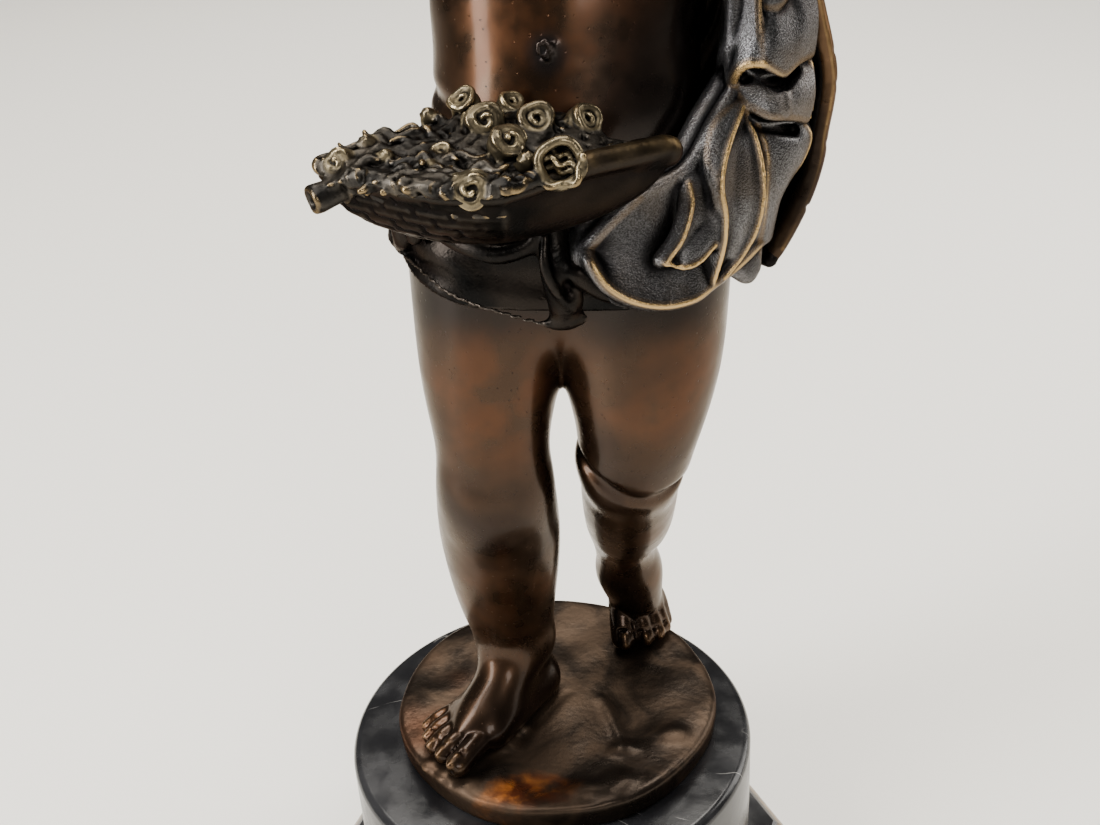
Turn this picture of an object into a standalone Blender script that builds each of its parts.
"""A bronze cherub with a basket of roses, cast in one with its round ground, on a marble drum and foot.

Blender 4.5 script, metres, +Z up. The origin is the middle of the foot's underside, and the figure
faces -Y. Its right side is at -X.
"""

import math

import bpy
import numpy as np

# Driving dimensions, in metres
FOOT_ACROSS = 0.150  # the octagon, flat to flat
FOOT_HEIGHT = 0.019
FOOT_LEDGE = 0.006  # how far the foot's moulding steps in below the drum
DRUM_DIAMETER = 0.131
DRUM_HEIGHT = 0.050
DRUM_BEVEL = 0.0028
GROUND_DIAMETER = 0.103
GROUND_HEIGHT = 0.009
GROUND_OFFSET = (0.0025, 0.0037)  # the cast ground sits a little off the drum's axis
FIGURE_HEIGHT = 0.400
SEAT_GAP = 0.0003  # clearance between one piece and the next

# Levels that follow from them
DRUM_BASE = FOOT_HEIGHT + SEAT_GAP
GROUND_BASE = DRUM_BASE + DRUM_HEIGHT + SEAT_GAP
GROUND_TOP = GROUND_BASE + GROUND_HEIGHT

# The figure's pose and carving are shares of its own height: one unit is a 400th of it
UNITS_HIGH = 400
UNIT = FIGURE_HEIGHT / UNITS_HIGH
CLAY_LAYERS = 210  # samples of the clay over the figure's height
CLAY_STEP = UNITS_HIGH / CLAY_LAYERS
BLOCK_LOW, BLOCK_HIGH = (-70, -84, -14), (94, 70, 408)
HEART = (15, 0, 200)  # a place well inside the body
FAR = 1000.0  # the distance of empty clay
FILLED, EMPTIED, TOUCHED = -0.5, 0.5, -0.05  # distances given to samples that are filled, dropped or joined

# Facets of the finished solids
FIGURE_TRIANGLES = 8600
DRUM_STEPS = 64
DRUM_BEVEL_STEPS = 4
FOOT_SIDES = 8
SCREW_MERGE = 0.00001


class Clay:
    """A block of clay on a grid. Each sample holds its distance to the skin, negative inside."""

    def __init__(self, low, high, step):
        self.low = np.array(low, float)
        self.step = step
        self.count = np.ceil((np.array(high, float) - self.low) / step).astype(int) + 1
        self.field = np.full(self.count, FAR, np.float32)

    def window(self, low, high):
        """The slices of the samples between two corners, and their coordinates."""
        first = np.clip(np.floor((low - self.low) / self.step).astype(int), 0, self.count - 1)
        last = np.clip(np.ceil((high - self.low) / self.step).astype(int) + 1, 1, self.count)
        slices = tuple(slice(a, b) for a, b in zip(first, last))
        axes = [self.low[i] + self.step * np.arange(first[i], last[i]) for i in range(3)]
        return slices, np.meshgrid(*axes, indexing="ij", sparse=True)

    def add(self, shape, blend=0.0):
        """Presses a shape on, with a soft joint as wide as blend."""
        distance, low, high = shape
        margin = blend + 2 * self.step
        slices, grid = self.window(low - margin, high + margin)
        self.field[slices] = smooth_min(self.field[slices], distance(*grid), blend)

    def merge(self, other, blend=0.0):
        """Joins another block of the same grid."""
        self.field = smooth_min(self.field, other.field, blend)

    def like(self):
        """An empty block on the same grid."""
        fresh = Clay((0, 0, 0), (1, 1, 1), self.step)
        fresh.low, fresh.count = self.low, self.count
        fresh.field = np.full(self.count, FAR, np.float32)
        return fresh

    def cut(self, shape, blend=0.0):
        """Carves a shape away, with a soft edge."""
        distance, low, high = shape
        margin = blend + 2 * self.step
        slices, grid = self.window(low - margin, high + margin)
        self.field[slices] = -smooth_min(-self.field[slices], distance(*grid), blend)

    def lay(self, points, radius, blend=0.0):
        """Presses on a cloth, given as points that lie closer together than its thickness."""
        points = points.reshape(-1, 3)
        nearest = np.round((points - self.low) / self.step).astype(int)
        reach = math.ceil((radius + blend) / self.step) + 1
        found = np.full(self.count, FAR, np.float32)
        cube = np.arange(-reach, reach + 1)
        offsets = np.stack(np.meshgrid(cube, cube, cube, indexing="ij"), axis=-1).reshape(-1, 3)
        for offset in offsets:
            at = nearest + offset
            apart = self.low + self.step * at - points
            distance = np.linalg.norm(apart, axis=1) - radius
            np.minimum.at(found, tuple(at.T), distance.astype(np.float32))
        self.field = smooth_min(self.field, found, blend)


def smooth_min(a, b, blend):
    if blend <= 0:
        return np.minimum(a, b)
    overlap = np.maximum(blend - np.abs(a - b), 0) / blend
    return np.minimum(a, b) - overlap * overlap * blend / 4


class Pose:
    """A local frame: x to the figure's left, y to its back, z up."""

    def __init__(self, origin, yaw=0.0, pitch=0.0, roll=0.0):
        """yaw turns to the figure's left, pitch nods forward and roll leans to its left, in degrees."""
        cy, sy = math.cos(math.radians(yaw)), math.sin(math.radians(yaw))
        cp, sp = math.cos(math.radians(pitch)), math.sin(math.radians(pitch))
        cr, sr = math.cos(math.radians(roll)), math.sin(math.radians(roll))
        turn = np.array([[cy, -sy, 0], [sy, cy, 0], [0, 0, 1]])
        nod = np.array([[1, 0, 0], [0, cp, -sp], [0, sp, cp]])
        lean = np.array([[cr, 0, sr], [0, 1, 0], [-sr, 0, cr]])
        self.axes = turn @ nod @ lean
        self.origin = np.array(origin, float)

    def at(self, *local):
        return self.origin + self.axes @ np.array(local, float)


WORLD = Pose((0, 0, 0))


def ball(centre, radii, pose=WORLD):
    """An ellipsoid, its centre and radii given in a pose's frame."""
    middle = pose.at(*centre)
    radii = np.broadcast_to(np.array(radii, float), 3)
    axes = pose.axes

    def distance(x, y, z):
        px, py, pz = x - middle[0], y - middle[1], z - middle[2]
        local = [axes[0, i] * px + axes[1, i] * py + axes[2, i] * pz for i in range(3)]
        near = np.sqrt(sum((part / r) ** 2 for part, r in zip(local, radii)))
        slope = np.sqrt(sum((part / r**2) ** 2 for part, r in zip(local, radii))) + 1e-9
        return near * (near - 1) / slope

    reach = np.abs(axes) @ radii
    return distance, middle - reach, middle + reach


def rod(points, radii):
    """A run of tapered round limbs through some points, each with its own radius."""
    points = np.array(points, float)
    radii = np.broadcast_to(np.array(radii, float), len(points))

    def distance(x, y, z):
        nearest = None
        for a, b, ra, rb in zip(points[:-1], points[1:], radii[:-1], radii[1:]):
            along = b - a
            share = (x - a[0]) * along[0] + (y - a[1]) * along[1] + (z - a[2]) * along[2]
            share = np.clip(share / (along @ along), 0, 1)
            dx = x - a[0] - share * along[0]
            dy = y - a[1] - share * along[1]
            dz = z - a[2] - share * along[2]
            here = np.sqrt(dx * dx + dy * dy + dz * dz) - (ra + share * (rb - ra))
            nearest = here if nearest is None else smooth_min(nearest, here, min(ra, rb) * 0.5)
        return nearest

    reach = radii.max()
    return distance, points.min(axis=0) - reach, points.max(axis=0) + reach


def curve_through(points, count):
    """A smooth curve through some points, as count samples."""
    points = np.array(points, float)
    padded = np.vstack([2 * points[0] - points[1], points, 2 * points[-1] - points[-2]])
    places = np.linspace(0, len(points) - 1, count)
    index = np.minimum(places.astype(int), len(points) - 2)
    t = (places - index)[:, None]
    p0, p1, p2, p3 = (padded[index + i] for i in range(4))
    bend = (2 * p0 - 5 * p1 + 4 * p2 - p3) * t**2 + (3 * p1 - p0 - 3 * p2 + p3) * t**3
    return 0.5 * (2 * p1 + (p2 - p0) * t + bend)


def ruled(first, second, rows, columns, bulge=0.0, folds=0, depth=0.0, outward=(0, -1, 0)):
    """Points of a cloth that hangs between two curves, with folds that run from one to the other."""
    a, b = curve_through(first, columns), curve_through(second, columns)
    v = np.linspace(0, 1, rows)[:, None, None]
    u = np.linspace(0, 1, columns)[None, :, None]
    waves = depth * np.cos(2 * math.pi * folds * u) * (0.35 + 0.65 * v)
    lift = bulge * np.sin(math.pi * v) + waves
    return a * (1 - v) + b * v + lift * np.array(outward, float)


# Poses of the torso and the head
PELVIS = Pose((13, 4, 158), yaw=-10)
CHEST = Pose((19, -3, 264), yaw=-15, pitch=-3)
HEAD = Pose((15, -9, 350), yaw=-24, pitch=12, roll=-5)

# Joints, in units, z above the bronze ground
RIGHT_HIP, RIGHT_KNEE, RIGHT_ANKLE = (-5, 2, 158), (-11, -7, 91), (-9.5, 5, 24)
LEFT_HIP, LEFT_KNEE, LEFT_ANKLE = (32, 1, 156), (28.5, -7, 92), (29.5, 31, 30)
RIGHT_SHOULDER, RIGHT_ELBOW, RIGHT_WRIST = (-15, 5, 300), (-44, 1, 304), (-47, -19, 338)
LEFT_SHOULDER, LEFT_ELBOW, LEFT_WRIST = (53, -10, 299), (71, 3, 252), (62, -33, 256)


def shape_torso(clay):
    clay.add(ball((0, 2, -2), (37, 29, 30), PELVIS))
    for side in (-1, 1):
        clay.add(ball((side * 15, 18, -8), (19, 17, 19), PELVIS), 8)
    clay.add(ball((15, -8, 198), (34, 27, 34)), 10)
    clay.add(ball((17, -5, 226), (34, 25, 28)), 10)
    clay.add(ball((0, 0, 0), (35, 25, 38), CHEST), 10)
    clay.add(ball((0, 2, 28), (26, 17, 17), CHEST), 10)
    for side in (-1, 1):
        clay.add(ball((side * 15, -14, 8), (15, 10, 12), CHEST), 8)
        clay.add(ball((side * 16, 14, 12), (14, 9, 20), CHEST), 8)
    clay.cut(ball((9.8, -35, 217), (2.4, 4, 2.6)), 2)


def shape_legs(clay):
    """Each leg is built apart, so that only a narrow crease joins the thighs."""
    right, left = clay.like(), clay.like()
    thigh = [RIGHT_HIP, (-9.5, -3, 128), (-10.8, -7, 106), RIGHT_KNEE]
    right.add(rod(thigh, (25, 20.2, 16.5, 15)))
    shin = [RIGHT_KNEE, (-11.3, 1, 78), (-11.2, 4, 62), (-11, 5, 42), RIGHT_ANKLE]
    right.add(rod(shin, (15, 18, 18, 15.5, 11.5)), 4)
    right.add(ball((-11, -13, 89), (11, 8, 9)), 8)
    right.add(ball((-12, 12, 64), (12, 9, 16)), 8)
    thigh = [LEFT_HIP, (32.5, -5, 130), (31, -10, 110), LEFT_KNEE]
    left.add(rod(thigh, (26.5, 22.8, 18, 15)))
    shin = [LEFT_KNEE, (28.5, 2, 78), (28.5, 12, 63), (27.5, 22, 48), LEFT_ANKLE]
    left.add(rod(shin, (14.5, 14.5, 13.5, 10, 10)), 4)
    left.add(ball((28.5, -9, 97), (15, 12, 8)), 5)
    left.add(ball((28, 20, 70), (10, 8, 14)), 8)
    right.merge(left, 2)
    clay.merge(right, 6)


# Each toe: its root, its tip and its radius
FRONT_TOES = (
    ((-19, -19, 6.5), (-28.6, -30.8, 4.2), 4.4),
    ((-23, -15.5, 6.5), (-33.3, -25, 3.6), 3.5),
    ((-26.5, -12.5, 6), (-36.4, -20.6, 3.4), 3.3),
    ((-28.5, -9, 5.5), (-38, -16, 3.2), 3.1),
    ((-29.5, -5.5, 5), (-38.7, -11, 3.0), 2.9),
)
BACK_TOES = (
    ((27, 33, 12), (26.8, 25.8, 4.4), 4.4),
    ((31.5, 33, 12), (34, 26.4, 3.8), 3.5),
    ((35, 34.5, 11), (38, 28.9, 3.5), 3.2),
    ((37.5, 36.5, 10), (40.3, 31.6, 3.5), 3.0),
    ((39, 39, 9), (41.4, 35.2, 3.4), 2.8),
)


def shape_feet(clay):
    """The standing foot, flat and turned out, and the trailing one on its toes."""
    clay.add(ball((-5, 9, 9), (9, 10, 9.5)), 6)
    clay.add(rod([RIGHT_ANKLE, (-14, -5, 15), (-21, -13, 9), (-25, -17, 6)], (10, 9, 8, 6.5)), 7)
    clay.add(rod([(-3, 6, 5), (-18, -18, 5.5)], (7, 6)), 6)
    clay.add(rod([(-6, 8, 5), (-28, -8, 4.5)], (7, 5.2)), 6)
    clay.add(ball((30, 43, 33), (8.5, 8, 9.5)), 6)
    clay.add(rod([LEFT_ANKLE, (31.2, 33.5, 20), (32.5, 36, 11)], (9.8, 9.8, 8)), 6)
    clay.add(rod([(28.5, 36, 9), (38, 40, 8)], (6, 5.5)), 5)
    for root, tip, size in FRONT_TOES + BACK_TOES:
        clay.add(rod([root, tip], (size, size)), 2)


def shape_hand(clay, wrist, aim, spread, curl):
    """A plump hand: a palm, four fingers and a thumb. aim, spread and curl are unit directions."""
    wrist, aim = np.array(wrist, float), np.array(aim, float)
    spread, curl = np.array(spread, float), np.array(curl, float)
    palm = wrist + aim * 12
    clay.add(rod([wrist, palm - spread * 3], (7.5, 7.5)), 4)
    clay.add(rod([wrist, palm + spread * 3], (7.5, 7)), 4)
    for finger in range(4):
        base = palm + aim * 4 + spread * (5.6 - 3.7 * finger)
        knuckle = base + aim * (8 - 0.8 * abs(finger - 1.5)) + curl * 2
        tip = knuckle + aim * 1.5 + curl * 7
        clay.add(rod([base, knuckle, tip], (3.0, 2.8, 2.3)), 1.5)
    thumb = wrist + aim * 5 + spread * 7
    clay.add(rod([thumb, thumb + aim * 8 + spread * 2 + curl * 5], (3.4, 2.8)), 2)


def shape_arms(clay):
    clay.add(rod([RIGHT_SHOULDER, (-30, 4, 302), RIGHT_ELBOW], (15, 13, 11)), 9)
    clay.add(rod([RIGHT_ELBOW, (-47, -6, 317), RIGHT_WRIST], (11, 11.5, 7)), 4)
    shape_hand(clay, RIGHT_WRIST, (-0.05, -0.35, 0.935), (0.87, -0.48, -0.13), (0.49, 0.80, 0.34))
    clay.add(rod([LEFT_SHOULDER, (66, -3, 276), LEFT_ELBOW], (15, 13, 11)), 9)
    clay.add(rod([LEFT_ELBOW, (71, -12, 253), LEFT_WRIST], (11, 11.5, 7.5)), 4)
    shape_hand(clay, LEFT_WRIST, (-0.3, -0.95, 0.1), (-0.94, 0.3, 0.12), (0.15, 0.05, -0.98))


def shape_head(clay):
    clay.add(rod([CHEST.at(0, 3, 34), HEAD.at(0, 6, -20)], (16, 15)), 12)
    clay.add(ball((0, 3, 7), (29, 33, 31), HEAD), 5)
    clay.add(ball((0, -6, -11), (24, 23, 24), HEAD), 9)
    clay.add(ball((0, -18, -28), (9, 8, 7), HEAD), 7)
    for side in (-1, 1):
        clay.add(ball((side * 13, -17, -14), (11, 10, 10), HEAD), 7)
        clay.cut(ball((side * 10.5, -32.5, -1), (6.5, 5, 5), HEAD), 4)
        clay.add(ball((side * 10.3, -24.5, -2), (5, 4.5, 4.2), HEAD), 1.5)
        clay.add(rod([HEAD.at(side * 4, -29, 5.5), HEAD.at(side * 16, -25, 5)], (2.2, 1.8)), 3)
        clay.add(ball((side * 28.5, 4, -5), (3, 5, 8), HEAD), 2)
    clay.add(rod([HEAD.at(0, -28, 1), HEAD.at(0, -33, -9)], (2.4, 3.8)), 3)
    clay.add(ball((0, -29, -19), (6, 3.5, 3), HEAD), 2.5)


def shape_hair(clay):
    """A cap of curls, in rings round the crown."""
    for ring in range(6):
        down = math.radians(12 + 21 * ring)
        curls = max(1, round(15 * math.sin(down)))
        for i in range(curls):
            round_head = 2 * math.pi * (i + 0.5 * (ring % 2)) / curls
            x, y = math.sin(down) * math.sin(round_head), math.sin(down) * math.cos(round_head)
            z = math.cos(down)
            on_face = y < -0.2 and z < 0.30
            if on_face or (abs(y) < 0.45 and z < -0.05):
                continue
            clay.add(ball((30 * x, 3 + 34 * y, 9 + 33 * z), (7.5, 7.5, 7), HEAD), 1.5)


def shape_wing(clay, side):
    """A small wing: feathers fan down from a crest that rises behind the shoulder."""
    crest = curve_through([(8, 20, 6), (14, 27, 34), (26, 33, 54), (38, 37, 46)], 9) * (side, 1, 1)
    clay.add(rod([CHEST.at(*point) for point in crest], np.linspace(6, 4, 9)), 4)
    for feather, point in enumerate(crest):
        share = feather / 8
        aim = np.array((side * (0.04 + 0.22 * share), 0.12, -1.0))
        length = 30 + 24 * share
        run = [CHEST.at(*(point + aim * length * part)) for part in (0, 0.5, 1)]
        clay.add(rod(run, (3.6, 4.2, 2.6)), 1.5)


def hem_height(x, y):
    """The level of the cloth's lower edge round the hips: highest at the right hip, lowest in front."""
    angle = np.arctan2(-(y - 2), x - 14)
    return 157 - 7 * np.sin(angle) + 5 * np.maximum(-np.cos(angle), 0) ** 2 * np.maximum(np.cos(2 * angle), 0)


def shape_loincloth(clay):
    """Cloth that clings to the hips: the body's own skin thickened between a waistline and the hem."""
    low, high = np.array((-34, -48, 138)), np.array((64, 46, 196))
    slices, (x, y, z) = clay.window(low, high)
    folds = 0.7 * np.sin(0.5 * z + 0.16 * x) * np.cos(0.11 * x)
    cloth = clay.field[slices] - 2.6 - folds
    cloth = np.maximum(np.maximum(cloth, hem_height(x, y) - z), z - 188)
    clay.field[slices] = smooth_min(clay.field[slices], cloth, 1.5)
    clay.add(rod([(10, -33, 172), (9, -37, 161), (11, -34, 151)], (4, 5, 4.5)), 3)
    clay.add(rod([(-27, -8, 178), (-29, -10, 167), (-27, -13, 164)], (5.5, 6, 4)), 3)


GATHER = (56.5, -21, 203)
FAN_TOP = ((38, -33, 188), (44, -31, 195), (50, -27, 200), GATHER, (58, -19, 201), (60, -16, 198))
FAN_HEM = ((16, -37, 170), (21, -41, 163), (30, -41, 158), (42, -36, 157), (52, -26, 158), (61, -13, 161))
MANTLE_EDGE = (
    (70, -16, 254), (73, -11, 236), (76, -7.5, 219), (80, -5, 200),
    (80, -5, 184), (75, -5, 164), (67, -5, 153),
)
MANTLE_INNER = (
    (62, 6, 254), (61, 10, 236), (60, 14, 219), (57, 18, 200), (54, 20, 184), (52, 20, 164), (50, 20, 153),
)
BACK_TOP = (
    (64, 6, 256), (52, 20, 238), (40, 28, 218), (20, 33, 198), (-4, 33, 186), (-22, 20, 178), (-28, 2, 172),
)
BACK_HEM = (
    (60, 12, 222), (57, 18, 190), (46, 30, 166), (22, 40, 155), (-4, 38, 153), (-22, 24, 156), (-29, 2, 163),
)


def shape_fan(clay):
    """The leaf-shaped folds that spread from the gather at the left hip down to the hem."""
    leaves = ruled(FAN_TOP, FAN_HEM, 26, 34, bulge=2, folds=4, depth=1.4, outward=(0.45, -0.85, -0.1))
    clay.lay(leaves, 3.0, 2.5)
    backing = ruled(FAN_TOP, FAN_HEM, 20, 30) + np.array([-5, 6, 0])
    clay.lay(backing, 4.5, 3)
    clay.add(rod(curve_through(FAN_HEM, 12), 2.4), 1.5)


def shape_mantle(clay):
    """The long end of the cloth that falls from the left forearm and passes round the back."""
    ripple = 1.6 * np.sin(np.linspace(0, 3 * math.pi, 22))[:, None, None] * np.array([0.5, -0.8, 0])
    clay.lay(ruled(MANTLE_INNER, MANTLE_EDGE, 22, 60) + ripple, 2.8, 2.5)
    fall = ruled(BACK_TOP, BACK_HEM, 30, 60, bulge=1.5, folds=5, depth=1.2, outward=(0.2, 1, 0))
    clay.lay(fall, 3.0, 2.5)


SWAGS = 3
SWAG_RISE = 19
STRANDS = 3


def shape_swags(clay):
    """The pouches of cloth caught between the gather and the mantle's edge, one above the other."""
    for level in range(SWAGS):
        rise = SWAG_RISE * level
        left, right = np.array((57, -20, 205 + rise)), np.array((75 - 2 * level, -10, 207 + rise))
        lip = [left, (66, -22, 193 + rise), right - (0, 0, 14)]
        back = [left + (0, 6, 12), (66, -6, 208 + rise), right + (0, 4, 8)]
        clay.lay(ruled(back, lip, 14, 16, bulge=2, outward=(0.3, -1, 0)), 2.6, 2)
    for strand in range(STRANDS):
        x, y = 51 + 4.2 * strand, -23 + 2 * strand
        clay.add(rod([(x, y, 246), (x + 1, y - 1, 220), GATHER], (3.4, 3.0, 2.6)), 2)


BASKET = Pose((-2, -53, 197), yaw=3)
BOWL_HALF, BOWL_WIDE, BOWL_DEEP = 38, 21, 17
# The roses, in the basket's frame: along, across to the back, up, and radius
ROSES = (
    (-6, 15, 12, 3.9), (4, 15, 11, 3.3), (-3, 8, 9.5, 5.2), (9.5, 8, 8.5, 4.5), (20, 8, 7, 4.6),
    (2, -2, 6.6, 4.6), (11.8, -16.5, 4.4, 5.6), (-7.3, -17.5, 1.4, 4.6), (-15.5, 3, 8, 4.0),
    (-24, -5, 5.4, 3.6), (-33, 1, 4.6, 4.0), (-12, -6, 5, 3.6), (-26, 6, 5.6, 3.6), (6, -9, 5, 3.6),
)
END_BUD, END_BUD_SIZE = (-40, -4, -0.8), 3.6


def shape_basket(clay):
    """A shallow boat of wickerwork, its rim raised towards the pointed right end, filled with roses."""
    bowl = clay.like()
    bowl.add(ball((0, 0, 2), (BOWL_HALF, BOWL_WIDE, BOWL_DEEP), BASKET))
    level = BASKET.origin[2] + 2.5
    low, high = BASKET.at(-BOWL_HALF, -BOWL_WIDE, 2.5), BASKET.at(BOWL_HALF, BOWL_WIDE, BOWL_DEEP + 2)
    bowl.cut((lambda x, y, z: level - z + 0 * x + 0 * y, np.minimum(low, high), np.maximum(low, high)), 1)
    clay.merge(bowl, 3)
    turns = np.linspace(0, 2 * math.pi, 33)
    right, front = np.clip(np.cos(turns), 0, 1), np.clip(np.sin(turns), 0, 1)
    heights = 1 + 2.5 * np.cos(turns) ** 2 + 8 * right**2 * front**2
    around = [(BOWL_HALF * math.cos(a), -BOWL_WIDE * math.sin(a)) for a in turns]
    rim = [BASKET.at(along, across, height) for (along, across), height in zip(around, heights)]
    clay.add(rod(rim, 2.6), 1.5)
    clay.add(rod([BASKET.at(BOWL_HALF - 6, -2, 2), BASKET.at(BOWL_HALF + 2, 1, 2)], (4, 3)), 3)
    clay.add(rod([BASKET.at(2 - BOWL_HALF, -2, 0), BASKET.at(*END_BUD)], (3.0, END_BUD_SIZE)), 2)
    clay.add(ball((-4, 0, 1), (31, 18, 7), BASKET), 2)


def shape_roses(clay):
    for along, across, up, size in ROSES:
        stem = [BASKET.at(along, across, up - 0.4 * size), BASKET.at(0.92 * along, 0.85 * across, 0)]
        clay.add(rod(stem, (0.8 * size, 1.2 * size)), 1)
        clay.add(ball((along, across, up), (size, size, size * 0.9), BASKET), 1)
        clay.cut(ball((along, across - 1, up + size), (size * 0.35,) * 3, BASKET), 1)
    held = np.array(RIGHT_WRIST) + (4, -6, 33)
    clay.add(rod([held - (1, -2, 12), held], (1.8, 1.8)), 1)
    clay.add(ball(held + (1, -1, 4), (6.5, 6.5, 6)), 1)


def shape_ground(clay):
    """The round of earth that is cast with the feet, uneven on top."""
    radius = GROUND_DIAMETER / 2 / UNIT
    depth = GROUND_HEIGHT / UNIT
    cx, cy = (offset / UNIT for offset in GROUND_OFFSET)

    def distance(x, y, z):
        across = np.hypot(x - cx, y - cy)
        waves = 0.6 * np.sin(x * 0.21 + 1) * np.cos(y * 0.17) + 0.35 * np.sin(x * 0.43 - y * 0.37)
        side = across - radius - 0.12 * z * (z < 0) - 0.9
        rounded = -smooth_min(-side, waves - z, 2.5)
        return np.maximum(rounded, -depth - z)

    low, high = np.array((cx - radius, cy - radius, -depth)), np.array((cx + radius, cy + radius, 2.0))
    clay.add((distance, low, high), 1.0)


def sculpt():
    """The whole cast figure in clay, in units, z from the top of the ground."""
    clay = Clay(BLOCK_LOW, BLOCK_HIGH, CLAY_STEP)
    shape_torso(clay)
    shape_legs(clay)
    shape_loincloth(clay)
    shape_feet(clay)
    shape_arms(clay)
    shape_head(clay)
    shape_hair(clay)
    for side in (-1, 1):
        shape_wing(clay, side)
    shape_basket(clay)
    shape_fan(clay)
    shape_mantle(clay)
    shape_swags(clay)
    shape_roses(clay)
    shape_ground(clay)
    return clay


def untangle(field):
    """Fills the odd sample where clay meets only along a diagonal, so that the skin never crosses itself."""
    while True:
        inside = field < 0
        fill = np.zeros_like(inside)
        for a, b in ((0, 1), (0, 2), (1, 2)):
            here = [slice(None)] * 3
            here[a] = here[b] = slice(None, -1)
            on_a, on_b, on_both = list(here), list(here), list(here)
            on_a[a] = on_both[a] = slice(1, None)
            on_b[b] = on_both[b] = slice(1, None)
            p, q, r, s = (inside[tuple(k)] for k in (here, on_a, on_b, on_both))
            crossed = (p == s) & (q == r) & (p != q)
            fill[tuple(here)] |= crossed & ~p
            fill[tuple(on_a)] |= crossed & p
        shape = tuple(n - 1 for n in inside.shape)
        corners = [
            inside[i : i + shape[0], j : j + shape[1], k : k + shape[2]]
            for i in (0, 1) for j in (0, 1) for k in (0, 1)
        ]
        total = sum(c.astype(np.int8) for c in corners)
        for i in range(4):
            opposite = corners[i] == corners[7 - i]
            lonely = opposite & (((total == 2) & corners[i]) | ((total == 6) & ~corners[i]))
            target = fill[1:, : shape[1], : shape[2]] if i < 2 else fill[: shape[0], 1:, : shape[2]]
            target |= lonely
        fill &= ~inside
        if not fill.any():
            return field
        field[fill] = TOUCHED


def spread(start, allowed):
    """Everything that can be reached from the start without leaving the allowed samples."""
    reached = start & allowed
    before = -1
    while reached.sum() != before:
        before = reached.sum()
        for axis in range(3):
            layers, free = np.moveaxis(reached, axis, 0), np.moveaxis(allowed, axis, 0)
            for order in (range(1, len(free)), range(len(free) - 2, -1, -1)):
                for i in order:
                    behind = i - 1 if order.step > 0 else i + 1
                    layers[i] |= layers[behind] & free[i]
    return reached


def one_body(clay):
    """Fills hollows that no opening reaches, and drops crumbs that hang free."""
    inside = clay.field < 0
    corner = np.zeros_like(inside)
    corner[0, 0, 0] = True
    clay.field[~inside & ~spread(corner, ~inside)] = FILLED
    inside = clay.field < 0
    heart = np.zeros_like(inside)
    heart[tuple(np.round((np.array(HEART) - clay.low) / clay.step).astype(int))] = True
    clay.field[inside & ~spread(heart, inside)] = EMPTIED


def skin(clay):
    """The clay's surface as points and four-sided faces: one point in each cell that the surface crosses."""
    one_body(clay)
    field = untangle(clay.field)
    inside = field < 0
    nx, ny, nz = (n - 1 for n in inside.shape)
    offsets = [(i, j, k) for i in (0, 1) for j in (0, 1) for k in (0, 1)]
    total = sum(inside[i : i + nx, j : j + ny, k : k + nz].astype(np.int8) for i, j, k in offsets)
    cells = np.argwhere((total > 0) & (total < 8))
    number = np.full((nx, ny, nz), -1, np.int64)
    number[tuple(cells.T)] = np.arange(len(cells))
    place, hits = np.zeros((len(cells), 3)), np.zeros(len(cells))
    for axis in range(3):
        for start in (o for o in offsets if not o[axis]):
            a_index = cells + start
            b_index = a_index + np.eye(3, dtype=int)[axis]
            a, b = field[tuple(a_index.T)], field[tuple(b_index.T)]
            crosses = (a < 0) != (b < 0)
            share = np.where(crosses, a / np.where(crosses, a - b, 1), 0)
            point = a_index.astype(float)
            point[:, axis] += share
            place += point * crosses[:, None]
            hits += crosses
    points = clay.low + clay.step * place / hits[:, None]
    faces = []
    for axis in range(3):
        b, c = (axis + 1) % 3, (axis + 2) % 3
        before = [slice(1, -1)] * 3
        before[axis] = slice(None, -1)
        after = list(before)
        after[axis] = slice(1, None)
        low_in, high_in = inside[tuple(before)], inside[tuple(after)]
        for edges, flip in ((low_in & ~high_in, False), (~low_in & high_in, True)):
            at = np.argwhere(edges)
            at[:, b] += 1
            at[:, c] += 1
            quad = []
            for db, dc in ((1, 1), (0, 1), (0, 0), (1, 0)):
                cell = at.copy()
                cell[:, b] -= db
                cell[:, c] -= dc
                quad.append(number[tuple(cell.T)])
            quad = np.stack(quad, axis=1)
            faces.append(quad[:, ::-1] if flip else quad)
    return points, np.concatenate(faces)


def clear_scene():
    for thing in list(bpy.data.objects):
        bpy.data.objects.remove(thing)


def material(name, colour, roughness, metallic):
    made = bpy.data.materials.new(name)
    made.use_nodes = True
    shader = made.node_tree.nodes["Principled BSDF"]
    shader.inputs["Base Color"].default_value = (*colour, 1)
    shader.inputs["Roughness"].default_value = roughness
    shader.inputs["Metallic"].default_value = metallic
    return made


def place(name, mesh, group, look):
    thing = bpy.data.objects.new(name, mesh)
    mesh.materials.append(look)
    group.objects.link(thing)
    return thing


def turned(name, profile, steps, group, look, smooth):
    """A solid turned from (radius, height) points that run from its top down to its base."""
    mesh = bpy.data.meshes.new(name)
    mesh.from_pydata([(r, 0, z) for r, z in profile], [(i, i + 1) for i in range(len(profile) - 1)], [])
    thing = place(name, mesh, group, look)
    screw = thing.modifiers.new("Turn", "SCREW")
    screw.steps = screw.render_steps = steps
    screw.use_merge_vertices = True
    screw.merge_threshold = SCREW_MERGE
    screw.use_smooth_shade = smooth
    return thing


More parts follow.
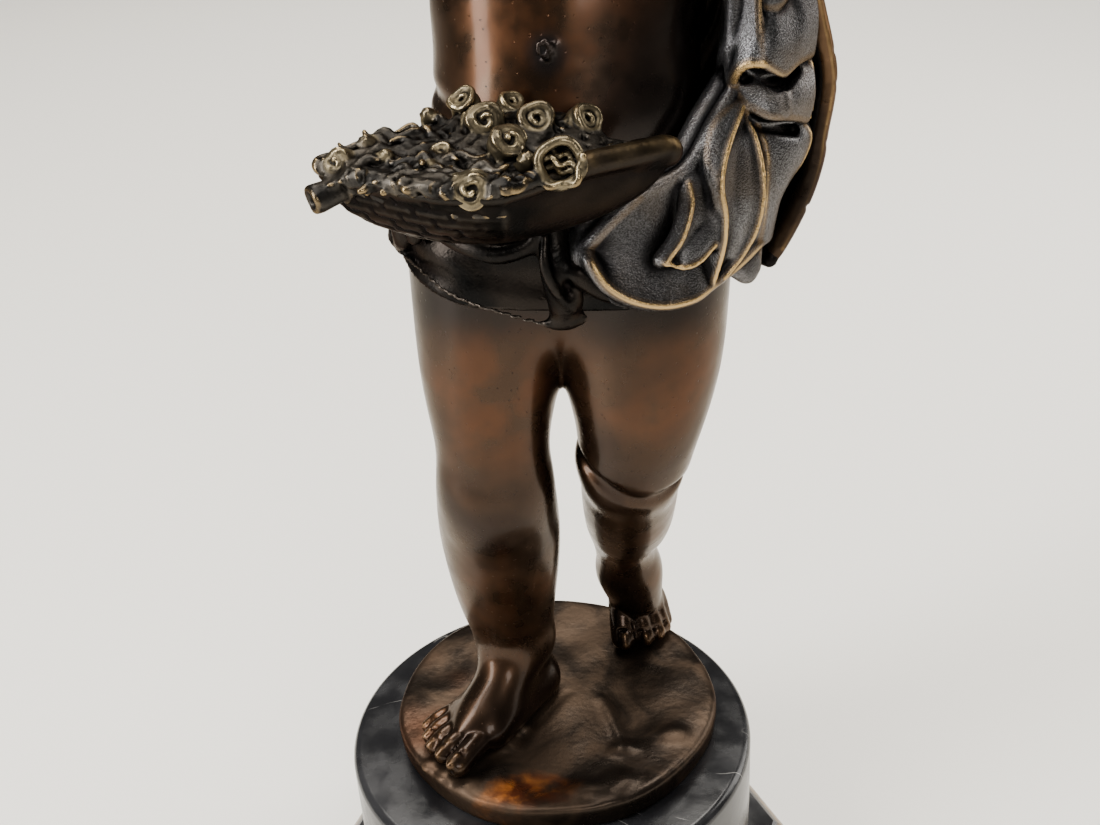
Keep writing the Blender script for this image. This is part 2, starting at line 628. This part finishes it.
def make_foot(group, look):
    """The octagonal foot: eight turned steps, so its corners lie on the X and Y axes."""
    corner = FOOT_ACROSS / 2 / math.cos(math.pi / FOOT_SIDES)
    ledge = corner - FOOT_LEDGE
    profile = [
        (0, FOOT_HEIGHT),
        (ledge, FOOT_HEIGHT),
        (ledge + 0.25 * FOOT_LEDGE, 0.86 * FOOT_HEIGHT),
        (ledge + 0.65 * FOOT_LEDGE, 0.72 * FOOT_HEIGHT),
        (corner, 0.62 * FOOT_HEIGHT),
        (corner, 0.12 * FOOT_HEIGHT),
        (corner - 0.12 * FOOT_HEIGHT, 0),
        (0, 0),
    ]
    return turned("marble_foot", profile, FOOT_SIDES, group, look, False)


def make_drum(group, look):
    radius, top = DRUM_DIAMETER / 2, DRUM_BASE + DRUM_HEIGHT
    bevel = DRUM_BEVEL
    arc = [
        (radius - bevel + bevel * math.sin(a), top - bevel + bevel * math.cos(a))
        for a in np.linspace(0, math.pi / 2, DRUM_BEVEL_STEPS + 1)
    ]
    profile = [(0, top), *arc, (radius, DRUM_BASE), (0, DRUM_BASE)]
    return turned("marble_drum", profile, DRUM_STEPS, group, look, True)


def make_figure(group, look):
    points, faces = skin(sculpt())
    base = -GROUND_HEIGHT / UNIT
    points[:, 2] = np.maximum(points[:, 2], base)
    points[points[:, 2] < base + 0.6 * CLAY_STEP, 2] = base
    mesh = bpy.data.meshes.new("cherub_figure")
    mesh.from_pydata(points * UNIT, [], faces.tolist())
    mesh.shade_smooth()
    figure = place("cherub_figure", mesh, group, look)
    figure.location = (0, 0, GROUND_TOP)
    thin = figure.modifiers.new("Fewer faces", "DECIMATE")
    thin.ratio = FIGURE_TRIANGLES / (2 * len(faces))
    return figure


def main():
    clear_scene()
    group = bpy.data.collections.new("bronze_cherub_statue")
    bpy.context.scene.collection.children.link(group)
    bronze = material("Bronze", (0.09, 0.045, 0.022), 0.32, 1.0)
    marble = material("Black marble", (0.012, 0.012, 0.013), 0.15, 0.0)
    make_foot(group, marble)
    make_drum(group, marble)
    make_figure(group, bronze)


main()
